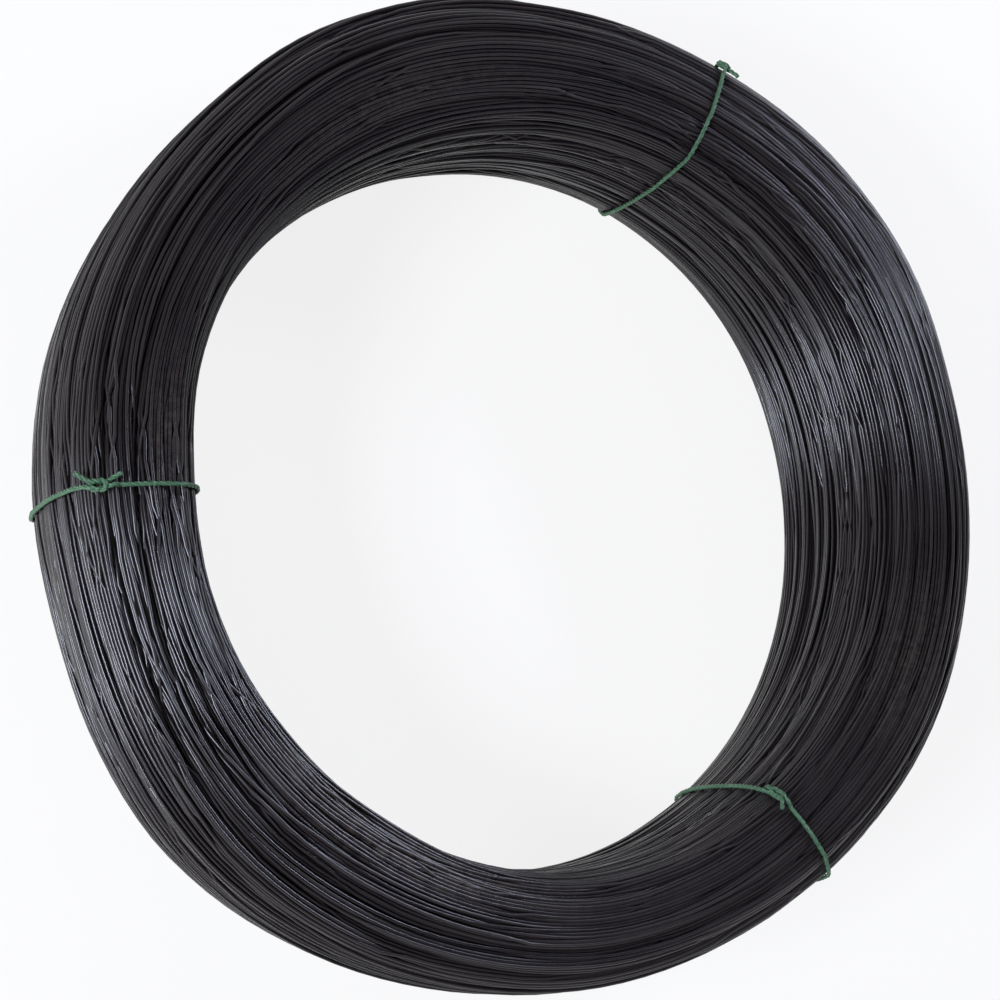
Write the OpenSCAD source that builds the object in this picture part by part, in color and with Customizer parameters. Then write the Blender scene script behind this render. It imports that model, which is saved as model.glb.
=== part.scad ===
// Coil of black annealed binding wire, lying flat and held by three twine ties.
// Millimetres, +Z up. The origin is on the coil's axis, at the level that the coil rests on.

/* [Coil] */
// Clear diameter of the coil's eye
eye_d = 318; // [260:2:380]
// Width of the wire bundle from the eye to the outside
bundle_w = 56; // [46:1:70]
// Height of the wire bundle along the coil's axis
bundle_h = 102; // [84:1:130]
// Radius of the bundle's rounded corners
corner_r = 14; // [10:1:18]
// Radius of the bundle's crowned inner and outer sides
side_r = 220; // [160:10:300]
// Radius of the bundle's crowned top and bottom
end_r = 60; // [45:1:80]

/* [Wire] */
// Diameter of the wire
wire_d = 1.6; // [1.4:0.1:2.4]
// Least clearance between neighbouring turns
turn_gap = 0.02; // [0.01:0.01:0.1]

/* [Ties] */
// Diameter of the twine
twine_d = 2; // [1.6:0.1:3]
// Clearance between the twine and the crests of the turns
tie_gap = 0.1; // [0.05:0.05:0.3]
// How much the twine is pressed flat where the coil rests on it
twine_press = 0.4; // [0.2:0.1:0.6]
// Direction of the first tie round the ring, seen from above
tie_1_angle = 66; // [0:1:119]
// Direction of the second tie
tie_2_angle = 183; // [120:1:239]
// Direction of the third tie
tie_3_angle = 305; // [240:1:359]
// Length of the cut ends at each knot
tail_length = 6; // [3:1:15]

/* [Hidden] */

$fn = 48;
wire_r = wire_d / 2;
twine_r = twine_d / 2;
ring_r = (eye_d + bundle_w) / 2;
// The pressed twine under the bundle carries the coil, so the bundle's middle lies this high
mid_z = bundle_h / 2 + tie_gap + twine_d - twine_press;
// The solid behind the turns starts this far outside the wires' centres
backing = wire_r * 0.45;
// How far a tight bend of twine runs over a long one, and how much thicker it is there
bend_lap = twine_r * 0.4;
bend_step = twine_r * 0.02;
// Where each knot sits, as the direction that it faces: 0 outward, 90 up, 180 toward the eye
outer_knot = 36;
top_knot = 74;
inner_knot = 150;

// The bundle's section is an oval of eight tangent arcs, drawn round four kinds of centre.
side_c = bundle_w / 2 - side_r;
end_c = bundle_h / 2 - end_r;

// Centre of the corner arc that touches both the side arc and the end arc from inside
function corner_centre() =
    let (to_side = side_r - corner_r,
         to_end = end_r - corner_r,
         apart = norm([side_c, end_c]),
         along = (to_side * to_side - to_end * to_end + apart * apart) / (2 * apart),
         across = sqrt(to_side * to_side - along * along),
         dir = [-side_c, end_c] / apart)
    [side_c + dir.x * along - dir.y * across, dir.y * along + dir.x * across];

corner_c = corner_centre();
// Directions at which the corner arc meets the side arc and the end arc
side_turn = atan2(corner_c.y, corner_c.x - side_c);
end_turn = atan2(corner_c.y - end_c, corner_c.x);

// The eight arcs in order round the section, each as [centre, radius, first direction, last direction]
ARCS = [
    [[side_c, 0], side_r, -side_turn, side_turn],
    [corner_c, corner_r, side_turn, end_turn],
    [[0, end_c], end_r, end_turn, 180 - end_turn],
    [[-corner_c.x, corner_c.y], corner_r, 180 - end_turn, 180 - side_turn],
    [[-side_c, 0], side_r, 180 - side_turn, 180 + side_turn],
    [[-corner_c.x, -corner_c.y], corner_r, 180 + side_turn, 180 + end_turn],
    [[0, -end_c], end_r, 180 + end_turn, 360 - end_turn],
    [[corner_c.x, -corner_c.y], corner_r, 360 - end_turn, 360 - side_turn]
];

function arc_length(arc, inset) = (arc[1] - inset) * (arc[3] - arc[2]) * PI / 180;

function arc_point(arc, facing, out) = arc[0] + (arc[1] + out) * [cos(facing), sin(facing)];

function arc_facing(facing) = [for (arc = ARCS) if (facing >= arc[2] && facing < arc[3]) arc][0];

// Directions of the turns on one arc, evenly spaced so that no two touch
function turn_facings(arc) =
    let (count = floor(arc_length(arc, wire_r) / (wire_d + turn_gap)))
    [for (i = [0 : count - 1]) arc[2] + (i + 0.5) * (arc[3] - arc[2]) / count];

// One turn's section as a regular octagon with a flat side facing outward.
module turn_section(facing) {
    rotate(facing + 22.5)
    circle(wire_r / cos(22.5), $fn = 8);
}

// The wound bundle: one turned solid whose skin is the outermost layer of turns.
module wire_coil() {
    color("#2b2b2e")
    translate([0, 0, mid_z])
    rotate_extrude($fn = 96)
    translate([ring_r, 0]) {
        polygon([
            for (arc = ARCS)
                for (facing = turn_facings(arc))
                    arc_point(arc, facing, backing - wire_r)
        ]);
        for (arc = ARCS)
            for (facing = turn_facings(arc))
                translate(arc_point(arc, facing, -wire_r))
                turn_section(facing);
    }
}

// One bend of twine in the plane of the section: part of a ring round a centre.
module twine_arc(centre, radius, from, to, thickness) {
    translate([centre.x, 0, centre.y])
    rotate([90, 0, 0])
    rotate_extrude(angle = to - from, start = from, $fn = 240)
    translate([radius, 0])
    circle(thickness, $fn = 16);
}

// The twine's closed loop round the bundle, pressed flat where it touches the ground.
// The four tight bends run on over the ends of the long ones, which enter them.
module twine_loop() {
    press_z = -bundle_h / 2 - tie_gap - twine_d + twine_press;
    difference() {
        for (arc = ARCS) {
            radius = arc[1] + tie_gap + twine_r;
            bend = arc[1] == corner_r;
            lap = bend ? bend_lap / radius * 180 / PI : 0;
            twine_arc(arc[0], radius, arc[2] - lap, arc[3] + lap, bend ? twine_r : twine_r - bend_step);
        }
        translate([-bundle_w / 2, -bundle_w / 2, press_z - bundle_w])
        cube(bundle_w);
    }
}

// A straight run of twine between two points, with a round end at the second
module twine_run(from, to) {
    way = to - from;
    translate(from)
    rotate([0, acos(way.z / norm(way)), atan2(way.y, way.x)])
    cylinder(h = norm(way), r = twine_r - bend_step, $fn = 16);
    translate(to)
    sphere(twine_r, $fn = 16);
}

// Half of a reef knot in diameters of twine, lying along X and bulging along Z: it comes from
// the loop at -X, passes over the other half's bend, dips under its legs, turns over them and
// goes back the same way to its cut end.
HALF_KNOT = [
    [-2.6, 0.1, -0.4],
    [-1.15, 0.45, 0.5],
    [0, 0.7, -0.45],
    [0.9, 0.95, 0.1],
    [1.45, 0.6, 0.5],
    [1.45, -0.6, 0.5],
    [0.9, -0.95, 0.1],
    [0, -0.7, -0.45],
    [-1.15, -0.45, 0.5],
    [-1.6, -0.6, 0.35]
];

// One half of the knot; the other half is turned end for end, with its overs and unders swapped
module half_knot(end) {
    points = [for (p = HALF_KNOT) [p.x * end, p.y, p.z * end] * twine_d];
    last = points[len(points) - 1];
    for (i = [1 : len(points) - 1])
        twine_run(points[i - 1], points[i]);
    twine_run(last, last + tail_length * [-end * 0.8, -0.58, -0.12]);
}

// The reef knot on the loop, facing outward from the bundle
module knot(facing) {
    seat = arc_point(arc_facing(facing), facing, tie_gap + twine_d);
    translate([seat.x, 0, seat.y])
    rotate([0, 90 - facing, 0]) {
        half_knot(1);
        half_knot(-1);
    }
}

module tie(direction, knot_facing) {
    color("#3f7a52")
    rotate([0, 0, direction])
    translate([ring_r, 0, mid_z]) {
        twine_loop();
        knot(knot_facing);
    }
}

module tie_1() tie(tie_1_angle, outer_knot);
module tie_2() tie(tie_2_angle, top_knot);
module tie_3() tie(tie_3_angle, inner_knot);

wire_coil();
tie_1();
tie_2();
tie_3();
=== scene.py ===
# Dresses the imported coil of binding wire: turns of wire, twisted twine, materials, lights and camera.
# Metres, +Z up, with the origin on the coil's axis at the level that the coil rests on.

import bpy
import numpy as np
from mathutils import Matrix, Vector


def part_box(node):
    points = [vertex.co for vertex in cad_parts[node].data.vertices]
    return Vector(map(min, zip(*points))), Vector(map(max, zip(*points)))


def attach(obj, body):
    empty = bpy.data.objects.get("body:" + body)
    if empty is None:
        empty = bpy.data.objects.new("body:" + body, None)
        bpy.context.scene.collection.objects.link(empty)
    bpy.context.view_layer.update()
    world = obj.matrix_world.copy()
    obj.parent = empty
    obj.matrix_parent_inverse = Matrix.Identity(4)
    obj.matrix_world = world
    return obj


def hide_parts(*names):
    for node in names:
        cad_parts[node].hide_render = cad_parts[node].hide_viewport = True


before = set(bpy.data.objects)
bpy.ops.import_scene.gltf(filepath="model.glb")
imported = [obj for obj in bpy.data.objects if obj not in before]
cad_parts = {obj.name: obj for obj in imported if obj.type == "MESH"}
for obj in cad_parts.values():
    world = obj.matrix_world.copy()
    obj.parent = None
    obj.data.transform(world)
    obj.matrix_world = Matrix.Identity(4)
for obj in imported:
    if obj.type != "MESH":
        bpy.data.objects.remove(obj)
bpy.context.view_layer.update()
rng = np.random.default_rng(7)

# Sizes of the coil, read from the frame or repeated from the part's source
MM = 0.001
COIL_LOW, COIL_HIGH = (np.array(corner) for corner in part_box("wire_coil"))
OUTER_R = (COIL_HIGH[0] - COIL_LOW[0]) / 2
BUNDLE_H = COIL_HIGH[2] - COIL_LOW[2]
BUNDLE_W = 56 * MM
RING_R = OUTER_R - BUNDLE_W / 2
MID_Z = (COIL_LOW[2] + COIL_HIGH[2]) / 2
CORNER_R = 14 * MM
SIDE_R = 220 * MM
END_R = 60 * MM
WIRE_D = 1.6 * MM
WIRE_R = WIRE_D / 2
TWINE_D = 2.0 * MM
TWINE_R = TWINE_D / 2
# Directions of the ties round the ring, and the way that each knot faces in its section
TIE_ANGLES = np.radians((66, 183, 305))
KNOT_FACINGS = np.radians((36, 74, 150))


# The bundle's section: an oval of tangent arcs, as in the part's source

SIDE_C = BUNDLE_W / 2 - SIDE_R
END_C = BUNDLE_H / 2 - END_R


def corner_centre():
    """Centre of the corner arc that touches the side arc and the end arc from inside."""
    to_side = SIDE_R - CORNER_R
    to_end = END_R - CORNER_R
    apart = np.hypot(SIDE_C, END_C)
    along = (to_side**2 - to_end**2 + apart**2) / (2 * apart)
    across = np.sqrt(to_side**2 - along**2)
    dx, dz = -SIDE_C / apart, END_C / apart
    return SIDE_C + dx * along - dz * across, dz * along + dx * across


CORNER_X, CORNER_Z = corner_centre()
SIDE_TURN = np.arctan2(CORNER_Z, CORNER_X - SIDE_C)
END_TURN = np.arctan2(CORNER_Z - END_C, CORNER_X)
SIDE_LEN = SIDE_R * SIDE_TURN
CORNER_LEN = CORNER_R * (END_TURN - SIDE_TURN)
END_LEN = END_R * (np.pi / 2 - END_TURN)
QUARTER = SIDE_LEN + CORNER_LEN + END_LEN
AROUND = 4 * QUARTER


def arc_values(on_side, on_end, side, end, corner):
    """The value that belongs to the arc that each point lies on."""
    return np.where(on_side, side, np.where(on_end, end, corner))


def quarter_point(length, depth):
    """Point at a length along the first quarter of the outline, and at a depth under it."""
    on_side = length < SIDE_LEN
    on_end = length > SIDE_LEN + CORNER_LEN
    end_facing = END_TURN + (length - SIDE_LEN - CORNER_LEN) / END_R
    corner_facing = SIDE_TURN + (length - SIDE_LEN) / CORNER_R
    facing = arc_values(on_side, on_end, length / SIDE_R, end_facing, corner_facing)
    radius = arc_values(on_side, on_end, SIDE_R, END_R, CORNER_R) - depth
    cx = arc_values(on_side, on_end, SIDE_C, 0, CORNER_X)
    cz = arc_values(on_side, on_end, 0, END_C, CORNER_Z)
    return cx + radius * np.cos(facing), cz + radius * np.sin(facing)


def section_point(around, depth):
    """Point of the whole section at a length round it, counted from the outermost point and up."""
    around = np.mod(around, AROUND)
    quarter = np.floor(around / QUARTER).astype(int)
    rest = around - quarter * QUARTER
    length = np.where(quarter % 2 == 0, rest, QUARTER - rest)
    x, z = quarter_point(length, depth)
    return x * np.where((quarter == 1) | (quarter == 2), -1, 1), z * np.where(quarter >= 2, -1, 1)


def section_place(x, z):
    """How far outside the outline points of the section lie, the way out, and the length round it."""
    ax, az = np.abs(x), np.abs(z)
    on_side = np.arctan2(az, ax - SIDE_C) < SIDE_TURN
    on_end = np.arctan2(az - END_C, ax) > END_TURN
    cx = arc_values(on_side, on_end, SIDE_C, 0, CORNER_X)
    cz = arc_values(on_side, on_end, 0, END_C, CORNER_Z)
    radius = arc_values(on_side, on_end, SIDE_R, END_R, CORNER_R)
    dx, dz = ax - cx, az - cz
    reach = np.maximum(np.hypot(dx, dz), 1e-9)
    facing = np.arctan2(dz, dx)
    end_length = SIDE_LEN + CORNER_LEN + (facing - END_TURN) * END_R
    corner_length = SIDE_LEN + (facing - SIDE_TURN) * CORNER_R
    length = arc_values(on_side, on_end, facing * SIDE_R, end_length, corner_length)
    right, top = x >= 0, z >= 0
    upper = np.where(right, length, 2 * QUARTER - length)
    lower = np.where(right, 4 * QUARTER - length, 2 * QUARTER + length)
    around = np.mod(np.where(top, upper, lower), AROUND)
    return reach - radius, dx / reach * np.sign(x), dz / reach * np.sign(z), around


# The turns of wire: how many, at how many places round the ring, and how deep they lie
TURNS = 470
STATIONS = 128
SHELL = 5.2 * MM
WIRE_SIDES = 6
TURN_PIECES = 4
# Share of a full layer of turns that one layer holds
LAYER_FILL = 0.97
# The dark core's faces round the section and round the ring, and its depth as a share of the turns'
CORE_SIDES = 96
CORE_STEPS = 128
CORE_DEPTH = 0.9

# Slow random waves of the wire, each as its size and its knots per turn: round the section from turn
# to turn and over many turns, where turns are loose and how far they stray, and in depth
NEAR_WAVE = (4.0 * MM, (0.7, 1.3))
FAR_WAVE = (9 * MM, (0.08,))
LOOSE_WAVE = (1.6, (0.12,))
STRAY_WAVE = (16 * MM, (1.1,))
DEPTH_WAVE = (1.6 * MM, (0.9, 2.1))
LOOSE_FROM = 0.9
# Below the second tie the turns near the skin lie criss-cross: direction and half-width in degrees
MUDDLE_WAVE = (11 * MM, (1.0,))
MUDDLE_AT = 199
MUDDLE_WIDTH = 9
MUDDLE_DEPTH = 2.4 * MM

# How the turns are pressed together: steps, when the pairs of neighbours are found again and how far
# apart in diameters they may be, when the smoothing stops, and the share of each move
RELAX_STEPS = 150
PAIRS_EVERY = 10
PAIR_REACH = 1.6
SETTLED = 0.8
CROWDING = 0.35
PUSH = 1.3
SMOOTHING = 0.35
PRESS_OUT = 0.02 * MM
GROUND_GAP = 0.1 * MM

# How far the ring's outside and the eye's wall lie outside their true circles, in millimetres, at
# every 15 degrees round the ring: fitted to the photograph's outline
OUTSIDE_OFF = np.array(
    (-3.6, -2.8, 3.1, 5.0, 4.1, 2.4, 1.7, 3.2, 2.5, -1.0, -1.6, -0.8)
    + (-2.5, -4.6, -2.0, 1.7, 1.2, -0.8, -1.5, -2.9, -2.5, -2.3, -1.0, -2.3)
)
EYE_OFF = np.array(
    (0.5, 1.4, 2.4, 1.4, -0.5, -1.0, -1.4, -2.0, -1.1, 0.6, 2.0, 0.8)
    + (-2.6, -1.3, 0.3, 1.4, 2.4, 4.9, 6.1, 4.2, 1.5, 1.1, 1.0, 1.0)
)

# Grooves that part the strands of the bundle. Each is its place round the section, its depth, its
# half-width and how far it drifts, in millimetres, and where round the ring it is deepest.
GROOVES = (
    (18, 4.8, 2.4, 2.5, 214),
    (37, 4.8, 2.4, 2.5, 218),
    (52, 4.4, 2.0, 3.0, 208),
    (65, 3.8, 1.8, 4.0, 190),
    (77, 3.4, 1.8, 3.5, 15),
    (90, 4.4, 2.0, 3.0, 32),
    (104, 4.2, 1.8, 3.0, 45),
    (115, 3.6, 1.6, 2.0, 50),
    (127, 4.4, 1.8, 3.0, 10),
    (139, 4.2, 1.7, 3.0, 330),
    (150, 3.6, 1.6, 3.0, 320),
    (168, 2.2, 1.5, 6.0, 40),
    (200, 2.2, 1.5, 6.0, 160),
    (232, 2.4, 1.5, 5.0, 250),
    (258, 2.2, 1.5, 5.0, 130),
)
# Share of its depth that a groove has everywhere, and the share that it has only where it is deepest
GROOVE_LEAST = 0.35
GROOVE_MORE = 0.65
# Fine ripples of the skin: waves round the section, twists round the ring, and where they start
RIPPLES = ((11, 2, 0.3), (17, -3, 1.7), (26, 5, 4.1))
RIPPLE = 0.3 * MM
# How far in millimetres the bundle swells between the ties and is drawn in under them, how far from
# a tie it has its full swell, and how it comes to it
SWELL = 2.6
DRAWN_IN = 0.4
SWELL_REACH = np.radians(60)
SWELL_POWER = 1.4


def wander(size, waves):
    """A slow random wave along the whole wire, with a value for each of its stations."""
    total = TURNS * STATIONS
    place = np.arange(total) / STATIONS
    out = np.zeros(total)
    for wave in waves:
        knots = rng.normal(size=int(TURNS * wave) + 4)
        at = place * wave
        i = at.astype(int)
        f = at - i
        f = f * f * (3 - 2 * f)
        out += (knots[i] * (1 - f) + knots[i + 1] * f) * size / len(waves)
    return out


def round_ring(values, angle):
    """A smooth curve through values that are evenly spaced round the ring."""
    count = len(values)
    place = angle / (2 * np.pi) * count
    first = np.floor(place).astype(int)
    u = place - first
    before, start, end, after = (values[(first + k) % count] for k in (-1, 0, 1, 2))
    square = 2 * before - 5 * start + 4 * end - after
    cube = 3 * (start - end) + after - before
    bend = square * u**2 + cube * u**3
    return start + 0.5 * ((end - before) * u + bend)


def off_circle(angle, x):
    """How far a turn is carried outward by the ring's own unevenness."""
    outside, eye = round_ring(OUTSIDE_OFF, angle), round_ring(EYE_OFF, angle)
    share = np.clip(x / BUNDLE_W + 0.5, 0, 1)
    return (eye + (outside - eye) * share) * MM


def angle_between(angle, other):
    """The signed angle from one direction round the ring to another, the short way."""
    return np.angle(np.exp(1j * (angle - other)))


def outline_room(around, station_angle):
    """How far the bundle swells past its outline, and where grooves part its strands."""
    away = np.abs(angle_between(station_angle[..., None], TIE_ANGLES)).min(axis=-1)
    between = np.sin(np.clip(away / SWELL_REACH, 0, 1) * np.pi / 2) ** SWELL_POWER
    room = between * SWELL * MM - DRAWN_IN * MM
    for place, depth, half_width, drift, deepest in GROOVES:
        turn = station_angle - np.radians(deepest)
        centre = place * MM + drift * MM * (np.sin(turn * 2 + place) + 0.4 * np.sin(turn * 3 + 2 * place))
        away = np.mod(around - centre + AROUND / 2, AROUND) - AROUND / 2
        strength = GROOVE_LEAST + GROOVE_MORE * (0.5 + 0.5 * np.cos(turn))
        room = room - depth * MM * strength * np.exp(-((away / (half_width * MM)) ** 2))
    for waves, twists, shift in RIPPLES:
        phase = around / AROUND * 2 * np.pi * waves + twists * station_angle + shift
        room = room + RIPPLE * np.sin(phase)
    return room


def pairs_near(chain, reach):
    """Pairs of turns whose sections lie near each other, station by station."""
    first, second = np.triu_indices(TURNS, 1)
    out = []
    for k in range(STATIONS):
        x, z = chain[:, k, 0], chain[:, k, 1]
        near = np.abs(x[first] - x[second]) < reach
        i, j = first[near], second[near]
        near = np.abs(z[i] - z[j]) < reach
        i, j = i[near], j[near]
        out.append(np.stack([i * STATIONS + k, j * STATIONS + k]))
    return np.concatenate(out, axis=1)


def wound_chain():
    """Where each turn starts out in the section before the turns are pressed together."""
    turn = np.arange(TURNS * STATIONS) / STATIONS
    around = turn / (AROUND / WIRE_D * LAYER_FILL) * AROUND
    around = around + wander(*NEAR_WAVE) + wander(*FAR_WAVE)
    loose = np.clip(wander(*LOOSE_WAVE) - LOOSE_FROM, 0, 1)
    around = around + loose * wander(*STRAY_WAVE)
    depth = WIRE_R + (turn / TURNS) * (SHELL - WIRE_R)
    depth = depth[::-1] + wander(*DEPTH_WAVE)
    depth = np.clip(depth, WIRE_R, SHELL)
    direction = np.mod(turn, 1) * 360
    muddle = np.exp(-(((direction - MUDDLE_AT) / MUDDLE_WIDTH) ** 2)) * (depth < MUDDLE_DEPTH)
    around = around + muddle * wander(*MUDDLE_WAVE)
    return np.stack(section_point(around, depth), axis=1)


def pushed_apart(chain, pairs):
    """The chain with turns that run into each other moved apart."""
    total = len(chain)
    a, b = pairs
    gap = chain[a] - chain[b]
    dist = np.maximum(np.hypot(gap[:, 0], gap[:, 1]), 1e-7)
    push = np.maximum(WIRE_D - dist, 0) / dist
    move = gap * (push * 0.5)[:, None]
    hits = push > 0
    shift = np.zeros_like(chain)
    count = np.ones(total)
    for index, sign in ((a, 1), (b, -1)):
        for axis in (0, 1):
            shift[:, axis] += sign * np.bincount(index, move[:, axis], total)
        count += CROWDING * np.bincount(index, hits, total)
    return chain + shift / count[:, None] * PUSH


def lay_turns():
    """Sections of the turns at each station, pressed together and each pushed off its neighbours."""
    chain = wound_chain()
    angle = np.tile(np.arange(STATIONS) / STATIONS * 2 * np.pi, TURNS)
    pairs = None
    for step in range(RELAX_STEPS):
        settling = step > RELAX_STEPS * SETTLED
        if step % PAIRS_EVERY == 0:
            pairs = pairs_near(chain.reshape(TURNS, STATIONS, 2), WIRE_D * PAIR_REACH)
        chain = pushed_apart(chain, pairs)
        if not settling:
            smooth = (np.roll(chain, 1, axis=0) + np.roll(chain, -1, axis=0)) / 2
            smooth[0], smooth[-1] = chain[0], chain[-1]
            chain += (smooth - chain) * SMOOTHING
        out, way_x, way_z, length = section_place(chain[:, 0], chain[:, 1])
        room = outline_room(length, angle) - WIRE_R
        over = np.maximum(out - room, 0)
        under = np.maximum(-SHELL - out, 0)
        # Wound turns press outward until they meet the skin
        drift = under - over + PRESS_OUT * (not settling)
        chain[:, 0] += way_x * drift
        chain[:, 1] += way_z * drift
        chain[:, 1] = np.maximum(chain[:, 1], WIRE_R - MID_Z + GROUND_GAP)
    chain[:, 0] += off_circle(angle, chain[:, 0])
    return chain.reshape(TURNS, STATIONS, 2)


# How light each turn is, and each strand of neighbouring turns, and the share of each in the tone
STRAND = 5
TURN_SHARE = 0.45
STRAND_SHARE = 0.55
TURN_TONES = rng.random(TURNS + 1)
STRAND_TONES = rng.random(len(range(0, TURNS + STRAND + 1, STRAND)))

# Dusty places on the wire: direction and half-width in degrees, distance from the bundle's middle and
# half-width in millimetres, and how dusty
DUSTY = (
    (238, 24, -16, 12, 1.0),
    (335, 14, -4, 16, 0.5),
    (176, 10, -14, 9, 0.55),
    (115, 22, -10, 10, 0.4),
)
DUST_LEAST = 0.08

# Stretches where the wire's scale is smoother, so that a lamp's glint ends short there: direction
# and half-width in degrees. Each turn's stretches end at their own places, this far apart.
SLEEK = ((166, 15), (346, 18))
SLEEK_SPREAD = 0.25


def dust_at(angle, x):
    """How dusty the wire is at places of the ring."""
    dust = np.full(angle.shape, DUST_LEAST)
    for direction, width, middle, reach, amount in DUSTY:
        away = angle_between(angle, np.radians(direction)) / np.radians(width)
        off = (x - middle * MM) / (reach * MM)
        dust = np.maximum(dust, amount * np.exp(-(away**2) - off**2))
    return dust


def sleek_at(angle):
    """How smooth the wire's scale is at directions round the ring."""
    sleek = np.zeros(angle.shape)
    for direction, width in SLEEK:
        away = angle_between(angle, np.radians(direction)) / np.radians(width)
        sleek = np.maximum(sleek, np.exp(-(away**4)))
    return sleek


def add_piece(name, mesh):
    """A piece of the scene with smooth shading."""
    mesh.shade_smooth()
    piece = bpy.data.objects.new(name, mesh)
    bpy.context.scene.collection.objects.link(piece)
    return piece


def add_attribute(mesh, name, values):
    """One number for each vertex, for the material to read."""
    layer = mesh.attributes.new(name, "FLOAT", "POINT")
    layer.data.foreach_set("value", values.astype(np.float32))


def in_space(radius, angle, height):
    """Points in space from their distance from the axis, direction and height."""
    return np.stack([radius * np.cos(angle), radius * np.sin(angle), height + 0 * angle], axis=-1)


def tube_mesh(name, chain, first, last):
    """One piece of the wire, from a first to a last station of the chain, as a closed tube."""
    flat = chain.reshape(-1, 2)[first : last + 1]
    count = len(flat)
    station = np.arange(first, last + 1)
    angle = (station % STATIONS) / STATIONS * 2 * np.pi
    side = (np.arange(WIRE_SIDES) + 0.5) / WIRE_SIDES * 2 * np.pi
    radius = RING_R + flat[:, 0, None] + WIRE_R * np.cos(side)[None]
    height = MID_Z + flat[:, 1, None] + WIRE_R * np.sin(side)[None]
    verts = in_space(radius, angle[:, None], height)
    ring = np.arange(count - 1)[:, None] * WIRE_SIDES
    this = np.arange(WIRE_SIDES)[None]
    other = (this + 1) % WIRE_SIDES
    following = ring + WIRE_SIDES
    corners = np.stack([ring + this, following + this, following + other, ring + other], axis=2).ravel()
    ends = [np.arange(WIRE_SIDES), (count - 1) * WIRE_SIDES + np.arange(WIRE_SIDES)[::-1]]
    loops = np.concatenate([corners, *ends])
    end_starts = [len(corners), len(corners) + WIRE_SIDES]
    starts = np.concatenate([np.arange(0, len(corners), 4), end_starts])
    mesh = bpy.data.meshes.new(name)
    mesh.vertices.add(count * WIRE_SIDES)
    mesh.vertices.foreach_set("co", verts.astype(np.float32).ravel())
    mesh.loops.add(len(loops))
    mesh.loops.foreach_set("vertex_index", loops.astype(np.int32))
    mesh.polygons.add(len(starts))
    mesh.polygons.foreach_set("loop_start", starts.astype(np.int32))
    mesh.update(calc_edges=True)
    mesh.validate()
    place = station / STATIONS
    tones = TURN_SHARE * np.interp(place, np.arange(TURNS + 1), TURN_TONES)
    tones += STRAND_SHARE * np.interp(place, np.arange(0, TURNS + STRAND + 1, STRAND), STRAND_TONES)
    sleek = sleek_at(angle + (tones - 0.5) * SLEEK_SPREAD)
    dust = dust_at(angle, flat[:, 0])
    for attribute, values in (("tone", tones), ("dust", dust), ("sleek", sleek)):
        add_attribute(mesh, attribute, np.repeat(values, WIRE_SIDES))
    return add_piece(name, mesh)


def core_mesh(name):
    """The bundle's inside in place of its deeper turns, seen only through gaps between the turns; its
    material paints their shade.
    """
    sides, steps = CORE_SIDES, CORE_STEPS
    x, z = section_point(np.arange(sides) / sides * AROUND, SHELL * CORE_DEPTH * np.ones(sides))
    angle = np.arange(steps)[:, None] / steps * 2 * np.pi
    verts = in_space(RING_R + x[None] + off_circle(angle, x[None]), angle, MID_Z + z[None])
    i, j = np.meshgrid(np.arange(steps), np.arange(sides), indexing="ij")
    next_i, next_j = (i + 1) % steps, (j + 1) % sides
    corners = [i * sides + j, next_i * sides + j, next_i * sides + next_j, i * sides + next_j]
    quads = np.stack(corners, axis=2).reshape(-1, 4)
    mesh = bpy.data.meshes.new(name)
    mesh.from_pydata(verts.reshape(-1, 3).tolist(), [], quads.tolist())
    return add_piece(name, mesh)


# The ties: how the twine is twisted, how long its cut ends are, and the way they point at each tie
PLIES = 3
PLY_SIDES = 7
PLY_R = TWINE_R * 0.54
LAY = 9 * MM
TAIL = 6 * MM
TAIL_RISE = 0.3 * MM
PHASE_STEP = 1.3
LOOP_STEP = 0.6 * MM
PATH_STEP = 0.5 * MM
TWINE_STEP = 0.55 * MM
# How unevenly each ply lies and how ragged it is, as shares of its radius
PLY_WAVE = 0.06
PLY_WAVE_TURN = 1.7
PLY_FRAY = 0.08
# How light each ply is, kept on the mesh though the twine's material does not read it: at least, how much
# more at most, and how much that changes along it
PLY_TONE = 0.25
PLY_TONE_MORE = 0.5
PLY_SPECKLE = 0.1
# Directions in which the tightest loop is felt for, and rounds of smoothing for the knot's corners
LOOP_WAYS = 720
KNOT_SMOOTHING = 5
# How far the knot reaches along the loop, in diameters of twine
KNOT_REACH = 3.6
TAIL_WAYS = (
    ((-0.75, -0.6, -0.1), (0.7, -0.7, 0.0)),
    ((-0.8, -0.5, 0.1), (0.85, -0.4, 0.1)),
    ((-0.6, -0.75, 0.0), (0.8, -0.5, 0.2)),
)

# Half of a reef knot, in diameters of twine: along the loop, across it and out from the bundle.
# It comes from the loop, passes over the other half's bend, under its legs, turns and comes back.
HALF_KNOT = np.array(
    [
        (-3.2, 0.05, -0.45),
        (-2.3, 0.2, -0.3),
        (-1.15, 0.45, 0.5),
        (0.0, 0.7, -0.45),
        (0.9, 0.95, 0.1),
        (1.45, 0.6, 0.5),
        (1.6, 0.0, 0.5),
        (1.45, -0.6, 0.5),
        (0.9, -0.95, 0.1),
        (0.0, -0.7, -0.45),
        (-1.15, -0.45, 0.5),
        (-2.0, -0.8, 0.2),
    ]
)


def convex_outline(points):
    """Corners of the smallest convex outline round some points, counter-clockwise."""
    order = sorted(map(tuple, points))
    halves = []
    for run in (order, order[::-1]):
        half = []
        for p in run:
            while len(half) > 1:
                (ax, ay), (bx, by) = half[-2], half[-1]
                if (bx - ax) * (p[1] - ay) - (by - ay) * (p[0] - ax) > 0:
                    break
                half.pop()
            half.append(p)
        halves.append(half[:-1])
    return np.array(halves[0] + halves[1])


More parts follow.
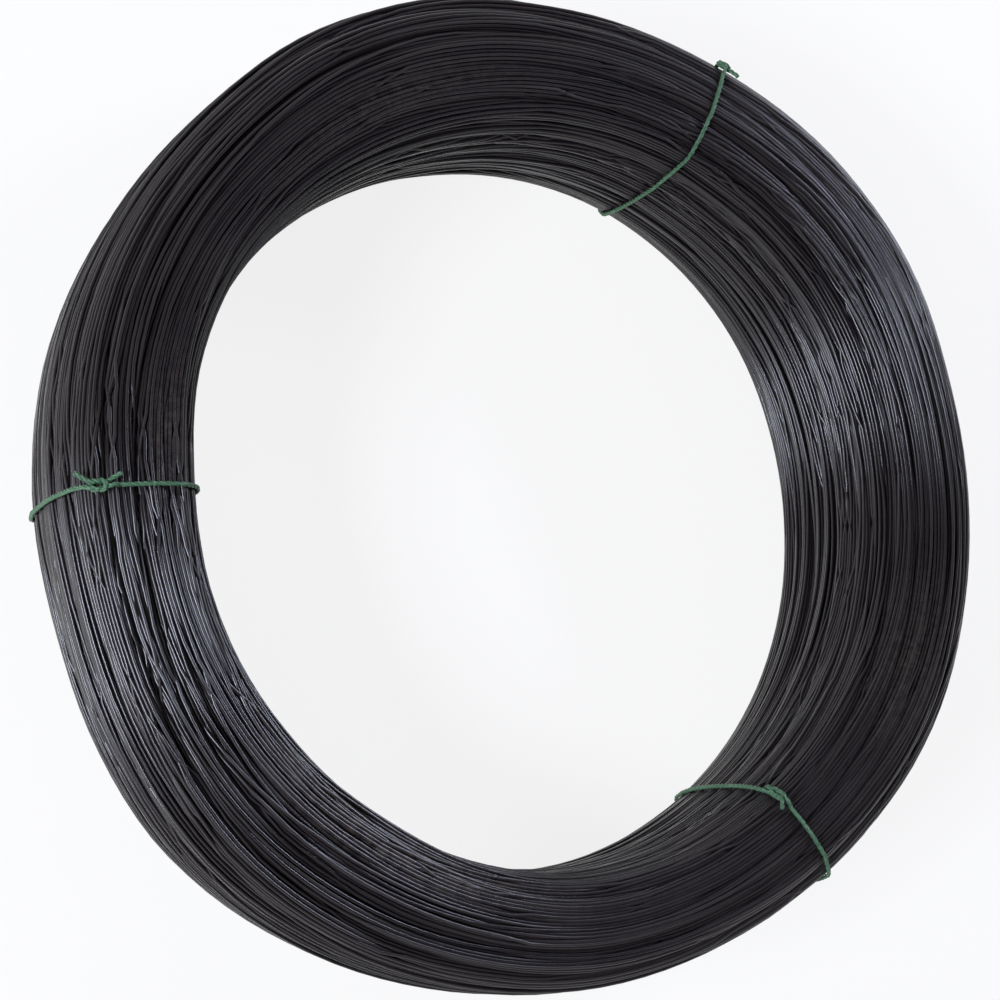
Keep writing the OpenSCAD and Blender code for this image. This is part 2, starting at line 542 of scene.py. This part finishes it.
def evenly(points, spacing, closed=True):
    """The same path with its points a set distance apart."""
    path = np.concatenate([points, points[:1]]) if closed else points
    length = np.concatenate([[0], np.cumsum(np.linalg.norm(np.diff(path, axis=0), axis=1))])
    count = int(round(length[-1] / spacing))
    at = np.linspace(0, length[-1], count + 1)
    if closed:
        at = at[:-1]
    return np.stack([np.interp(at, length, path[:, k]) for k in range(path.shape[1])], axis=1)


def smoothed(path, rounds):
    """The path with its small corners rounded and its ends kept."""
    path = path.copy()
    for _ in range(rounds):
        path[1:-1] += (path[:-2] + path[2:] - 2 * path[1:-1]) * 0.25
    return path


def taut_loop(chain, angle):
    """The twine's path round the bundle at one direction: the tightest loop that holds every turn."""
    low = int(np.floor(angle / (2 * np.pi) * STATIONS))
    points = np.concatenate([chain[:, (low + k) % STATIONS] for k in (0, 1)])
    facing = np.linspace(0, 2 * np.pi, LOOP_WAYS + 1)[:-1]
    way = np.stack([np.cos(facing), np.sin(facing)])
    support = (points @ way).max(axis=0) + WIRE_R + TWINE_R
    slope = (np.roll(support, -1) - np.roll(support, 1)) / (2 * (facing[1] - facing[0]))
    loop = np.stack([support * way[0] - slope * way[1], support * way[1] + slope * way[0]], axis=1)
    return evenly(convex_outline(loop), LOOP_STEP)


def half_knot(end, tail_way):
    """One half of the knot, ending in its cut tail; the other half swaps its overs and unders."""
    points = HALF_KNOT * np.array([end, 1, end]) * TWINE_D
    tail = points[-1] + TAIL * np.array(tail_way)
    middle = points[-1] * 0.5 + tail * 0.5 + [0, 0, TAIL_RISE]
    return np.concatenate([points, [middle, tail]])


def tie_path(chain, angle, facing, tails):
    """The whole twine in space: a tail, half the knot, once round the bundle, the other half, a tail."""
    loop = taut_loop(chain, angle)
    seat = np.argmax(loop @ np.array([np.cos(facing), np.sin(facing)]))
    loop = np.roll(loop, -seat, axis=0)
    ahead = loop[3] - loop[-3]
    ahead = ahead / np.linalg.norm(ahead)
    outward = np.array([ahead[1], -ahead[0]])

    def placed(points):
        """The knot's points in the section: along the loop, across it along the ring, and outward."""
        flat = loop[0] + outward * TWINE_R + points[:, :1] * ahead + points[:, 2:] * outward
        return np.stack([flat[:, 0], points[:, 1], flat[:, 1]], axis=1)

    first = placed(half_knot(1, tails[0]))
    last = placed(half_knot(-1, tails[1]))
    reach = int(KNOT_REACH * TWINE_D / LOOP_STEP)
    round_loop = np.stack([loop[:, 0], 0 * loop[:, 0], loop[:, 1]], axis=1)
    # The half that comes from behind goes into the knot ahead, and the other way round
    path = np.concatenate([last[::-1], round_loop[reach:-reach], first])
    path = smoothed(evenly(path, PATH_STEP, closed=False), KNOT_SMOOTHING)
    return in_space(RING_R + path[:, 0], angle + path[:, 1] / RING_R, MID_Z + path[:, 2])


def path_frame(path):
    """Two directions across the path at each of its points, carried along it without twist."""
    along = np.gradient(path, axis=0)
    along /= np.linalg.norm(along, axis=1)[:, None]
    across = np.zeros_like(path)
    across[0] = np.cross(along[0], [0.3, 0.2, 0.9])
    for i in range(len(path)):
        way = across[i - 1] if i else across[0]
        way = way - along[i] * (way @ along[i])
        across[i] = way / np.linalg.norm(way)
    return across, np.cross(along, across)


def twine_mesh(name, path, start_phase):
    """Three plies twisted about the path, pressed flat where the coil rests on them."""
    path = evenly(path, TWINE_STEP, closed=False)
    count = len(path)
    across, side = path_frame(path)
    length = np.arange(count) * TWINE_STEP
    ring = np.arange(PLY_SIDES) / PLY_SIDES * 2 * np.pi
    ring = ring[None, :, None]
    round_ply = np.cos(ring) * across[:, None] + np.sin(ring) * side[:, None]
    verts, faces, tones = [], [], []
    for ply in range(PLIES):
        phase = length / LAY * 2 * np.pi + ply * 2 * np.pi / PLIES + start_phase
        wave = 1 + PLY_WAVE * np.sin(length / MM * PLY_WAVE_TURN + ply * 2.0)
        off_middle = np.cos(phase)[:, None] * across + np.sin(phase)[:, None] * side
        middle = path + (TWINE_R - PLY_R) * wave[:, None] * off_middle
        fray = 1 + PLY_FRAY * rng.normal(size=count)
        tube = middle[:, None] + (PLY_R * fray)[:, None, None] * round_ply
        verts.append(tube.reshape(-1, 3))
        base = ply * count * PLY_SIDES
        i = np.arange(count - 1)[:, None] * PLY_SIDES + base
        this = np.arange(PLY_SIDES)[None]
        other = (this + 1) % PLY_SIDES
        quads = np.stack([i + this, i + other, i + PLY_SIDES + other, i + PLY_SIDES + this], axis=2)
        faces += quads.reshape(-1, 4).tolist()
        faces.append([base + k for k in range(PLY_SIDES)][::-1])
        faces.append([base + (count - 1) * PLY_SIDES + k for k in range(PLY_SIDES)])
        tone = rng.random() * PLY_TONE_MORE + PLY_TONE + PLY_SPECKLE * rng.normal(size=count)
        tones.append(np.repeat(tone, PLY_SIDES))
    verts = np.concatenate(verts)
    verts[:, 2] = np.maximum(verts[:, 2], 0.0)
    mesh = bpy.data.meshes.new(name)
    mesh.from_pydata(verts.tolist(), [], faces)
    add_attribute(mesh, "tone", np.concatenate(tones))
    return add_piece(name, mesh)


# Materials

# Shares of the turns' own tones and of patches along the wire in its colour and roughness
TONE_SHARE = 0.75
PATCH_SHARE = 0.35
# How much less rough the smoother stretches are
SLEEKER = 0.13
WHITE = (1.0, 1.0, 1.0)
BLACK = (0.0, 0.0, 0.0)
DUST_COLOUR = (0.075, 0.062, 0.052, 1.0)
PAPER_COLOUR = (0.92, 0.9, 0.86, 1.0)
# How much of the floor and backdrop is plain white to the camera and in the wire's reflections
PAPER_GLOW = 0.84


class Nodes:
    """Short names for building a material's nodes."""

    def __init__(self, name):
        self.material = bpy.data.materials.new(name)
        self.material.use_nodes = True
        self.tree = self.material.node_tree
        self.shader = self.tree.nodes["Principled BSDF"]

    def add(self, kind, **values):
        node = self.tree.nodes.new(kind)
        for key, value in values.items():
            setattr(node, key, value)
        return node

    def link(self, out, into):
        self.tree.links.new(out, into)

    def place(self):
        return self.add("ShaderNodeTexCoord").outputs["Object"]

    def attribute(self, name):
        return self.add("ShaderNodeAttribute", attribute_name=name).outputs["Fac"]

    def noise(self, vector, scale, detail=3.0, rough=0.55):
        node = self.add("ShaderNodeTexNoise")
        node.inputs["Scale"].default_value = scale
        node.inputs["Detail"].default_value = detail
        node.inputs["Roughness"].default_value = rough
        self.link(vector, node.inputs["Vector"])
        return node.outputs["Fac"]

    def ramp(self, fac, *stops):
        node = self.add("ShaderNodeValToRGB")
        ramp = node.color_ramp
        while len(ramp.elements) < len(stops):
            ramp.elements.new(0.5)
        for element, (place, colour) in zip(ramp.elements, stops):
            element.position = place
            element.color = (*colour, 1.0)
        self.link(fac, node.inputs["Fac"])
        return node.outputs["Color"]

    def math(self, kind, a, b):
        node = self.add("ShaderNodeMath", operation=kind)
        for socket, value in zip(node.inputs, (a, b)):
            if isinstance(value, (int, float)):
                socket.default_value = value
            else:
                self.link(value, socket)
        return node.outputs[0]

    def bump(self, height, strength, distance):
        node = self.add("ShaderNodeBump")
        node.inputs["Strength"].default_value = strength
        node.inputs["Distance"].default_value = distance
        self.link(height, node.inputs["Height"])
        self.link(node.outputs["Normal"], self.shader.inputs["Normal"])


def annealed_wire():
    """Dark scale whose tone changes from turn to turn, with dusty and smoother places."""
    n = Nodes("black_annealed_wire")
    place = n.place()
    tones = n.math("MULTIPLY", n.attribute("tone"), TONE_SHARE)
    patches = n.math("MULTIPLY", n.noise(place, 35.0, 4.0), PATCH_SHARE)
    mixed = n.math("ADD", tones, patches)
    colour = n.ramp(
        mixed,
        (0.25, (0.0052, 0.0038, 0.0050)),
        (0.5, (0.0115, 0.0086, 0.0108)),
        (0.65, (0.0185, 0.0152, 0.0155)),
        (0.8, (0.0265, 0.0228, 0.0235)),
    )
    grains = n.ramp(n.noise(place, 260.0, 4.0, 0.7), (0.35, BLACK), (0.7, WHITE))
    dusted = n.add("ShaderNodeMix", data_type="RGBA")
    n.link(n.math("MULTIPLY", n.attribute("dust"), grains), dusted.inputs[0])
    n.link(colour, dusted.inputs[6])
    dusted.inputs[7].default_value = DUST_COLOUR
    n.link(dusted.outputs[2], n.shader.inputs["Base Color"])
    rough = n.add("ShaderNodeMapRange")
    rough.inputs["To Min"].default_value = 0.18
    rough.inputs["To Max"].default_value = 0.35
    n.link(mixed, rough.inputs["Value"])
    smoother = n.math("MULTIPLY", n.attribute("sleek"), SLEEKER)
    n.link(n.math("SUBTRACT", rough.outputs["Result"], smoother), n.shader.inputs["Roughness"])
    n.shader.inputs["IOR"].default_value = 1.56
    n.bump(n.noise(place, 900.0, 2.0), 0.15, 0.0001)
    return n.material


def painted_shade_inside():
    """The deeper turns inside the bundle: dull, and painted darker than the wire's own colour as their
    shade in the gaps.
    """
    n = Nodes("bundle_inside_painted_shade")
    dull = n.noise(n.place(), 200.0)
    # Painted shade: darker than the wire's own colour, as the deeper turns look in the gaps between the
    # turns
    colour = n.ramp(dull, (0.3, (0.004, 0.004, 0.004)), (0.7, (0.010, 0.009, 0.009)))
    n.link(colour, n.shader.inputs["Base Color"])
    n.shader.inputs["Roughness"].default_value = 0.8
    return n.material


def green_twine():
    """The twine's own greens, with pale flecks among them that are painted highlights."""
    n = Nodes("green_twine")
    place = n.place()
    colour = n.ramp(
        n.noise(place, 900.0, 3.0),
        (0.3, (0.024, 0.085, 0.036)),
        (0.55, (0.060, 0.150, 0.075)),
        # Painted highlights: the palest stop, scattered at random over the twine
        (0.8, (0.19, 0.29, 0.20)),
    )
    n.link(colour, n.shader.inputs["Base Color"])
    n.shader.inputs["Roughness"].default_value = 0.5
    n.bump(n.noise(place, 2500.0, 2.0), 0.5, 0.0002)
    return n.material


def pale_paper():
    """Floor and backdrop: they keep the coil's shadow, and the camera and the wire see them pale."""
    n = Nodes("pale_paper")
    n.shader.inputs["Base Color"].default_value = PAPER_COLOUR
    n.shader.inputs["Roughness"].default_value = 0.9
    glow = n.add("ShaderNodeEmission")
    glow.inputs["Color"].default_value = (*WHITE, 1.0)
    path = n.add("ShaderNodeLightPath")
    seen = n.math("MAXIMUM", path.outputs["Is Camera Ray"], path.outputs["Is Glossy Ray"])
    seen = n.math("MAXIMUM", seen, path.outputs["Is Transmission Ray"])
    mix = n.add("ShaderNodeMixShader")
    n.link(n.math("MULTIPLY", seen, PAPER_GLOW), mix.inputs["Fac"])
    n.link(n.shader.outputs["BSDF"], mix.inputs[1])
    n.link(glow.outputs["Emission"], mix.inputs[2])
    n.link(mix.outputs["Shader"], n.tree.nodes["Material Output"].inputs["Surface"])
    return n.material


# The scene

# The photograph's view, fitted from its outline: the way from the coil to the camera, the way to the
# picture's right, the distance, the focal length in picture widths, and the coil's place in pixels
CAMERA_WAY = (-0.4134, -0.1529, 0.8976)
PICTURE_RIGHT = (0.910, -0.034, 0.414)
CAMERA_AWAY = 0.8602
FOCAL_WIDTHS = 1.933
COIL_PIXEL = (524.8, 495.4)
PICTURE_SIZE = 1000
SENSOR = 36.0

STAGE_SIDES = 96
FLOOR_R = 4.0
BACKDROP_H = 1.5
WORLD_COLOUR = (1.0, 0.97, 1.0, 1.0)
WORLD_STRENGTH = 0.15
LAMP_AWAY = 1.6
# Each lamp's name, azimuth, elevation, size in metres, power in watts and colour
LAMPS = (
    ("key", 195, 36, (0.55, 0.36), 29.0, (0.80, 0.85, 1.0)),
    ("fill", 31, 28, (0.6, 0.36), 18.0, (0.72, 0.77, 1.0)),
)


def camera():
    """The photograph's camera, about 860 mm from the coil and 64 degrees above the ground."""
    direction = Vector(CAMERA_WAY).normalized()
    right = Vector(PICTURE_RIGHT)
    right = (right - direction * right.dot(direction)).normalized()
    up = direction.cross(right)
    data = bpy.data.cameras.new("camera")
    data.sensor_width = SENSOR
    data.lens = SENSOR * FOCAL_WIDTHS
    data.shift_x = -(COIL_PIXEL[0] - PICTURE_SIZE / 2) / PICTURE_SIZE
    data.shift_y = (COIL_PIXEL[1] - PICTURE_SIZE / 2) / PICTURE_SIZE
    data.clip_start = 0.01
    cam = bpy.data.objects.new("camera", data)
    bpy.context.scene.collection.objects.link(cam)
    cam.matrix_world = Matrix((right, up, direction)).transposed().to_4x4()
    cam.location = Vector((0, 0, MID_Z)) + direction * CAMERA_AWAY
    bpy.context.scene.camera = cam


def area_light(name, azimuth, elevation, size, power, colour):
    """A soft lamp that faces the coil."""
    data = bpy.data.lights.new(name, "AREA")
    data.shape = "RECTANGLE"
    data.size, data.size_y = size
    data.energy = power
    data.color = colour
    lamp = bpy.data.objects.new(name, data)
    bpy.context.scene.collection.objects.link(lamp)
    az, el = np.radians(azimuth), np.radians(elevation)
    way = Vector((np.cos(az) * np.cos(el), np.sin(az) * np.cos(el), np.sin(el)))
    lamp.location = Vector((0, 0, MID_Z)) + way * LAMP_AWAY
    lamp.rotation_euler = way.to_track_quat("Z", "Y").to_euler()


def studio():
    """A dim world, a pale floor with a round backdrop, and two soft lamps."""
    world = bpy.data.worlds.new("studio")
    world.use_nodes = True
    background = world.node_tree.nodes["Background"]
    background.inputs["Color"].default_value = WORLD_COLOUR
    background.inputs["Strength"].default_value = WORLD_STRENGTH
    bpy.context.scene.world = world
    pale = pale_paper()
    bpy.ops.mesh.primitive_circle_add(vertices=STAGE_SIDES, radius=FLOOR_R, fill_type="NGON")
    floor = bpy.context.object
    floor.name = "floor"
    bpy.ops.mesh.primitive_cylinder_add(
        vertices=STAGE_SIDES,
        radius=FLOOR_R,
        depth=BACKDROP_H,
        location=(0, 0, BACKDROP_H / 2),
        end_fill_type="NOTHING",
    )
    backdrop = bpy.context.object
    backdrop.name = "backdrop"
    backdrop.data.shade_smooth()
    for sheet in (floor, backdrop):
        sheet.data.materials.append(pale)
    for lamp in LAMPS:
        area_light(*lamp)
    bpy.context.scene.view_settings.view_transform = "Standard"


def dress(piece, material, node):
    """Gives a piece its material, hangs it on the root body and hides the part node that it replaces."""
    piece.data.materials.append(material)
    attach(piece, "root")
    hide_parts(node)


def wire():
    """The turns of wire in four lengths, and the dark inside behind them."""
    chain = lay_turns()
    material = annealed_wire()
    cuts = np.linspace(0, TURNS * STATIONS - 1, TURN_PIECES + 1).astype(int)
    for i in range(TURN_PIECES):
        piece = tube_mesh(f"wire_turns_{i + 1}", chain, cuts[i], cuts[i + 1])
        dress(piece, material, "wire_coil")
    dress(core_mesh("wire_inside"), painted_shade_inside(), "wire_coil")
    return chain


def ties(chain):
    """The three lengths of twine, drawn tight round the turns."""
    material = green_twine()
    for i, (angle, facing, tails) in enumerate(zip(TIE_ANGLES, KNOT_FACINGS, TAIL_WAYS)):
        piece = twine_mesh(f"twine_{i + 1}", tie_path(chain, angle, facing, tails), i * PHASE_STEP)
        dress(piece, material, f"tie_{i + 1}")


camera()
studio()
ties(wire())
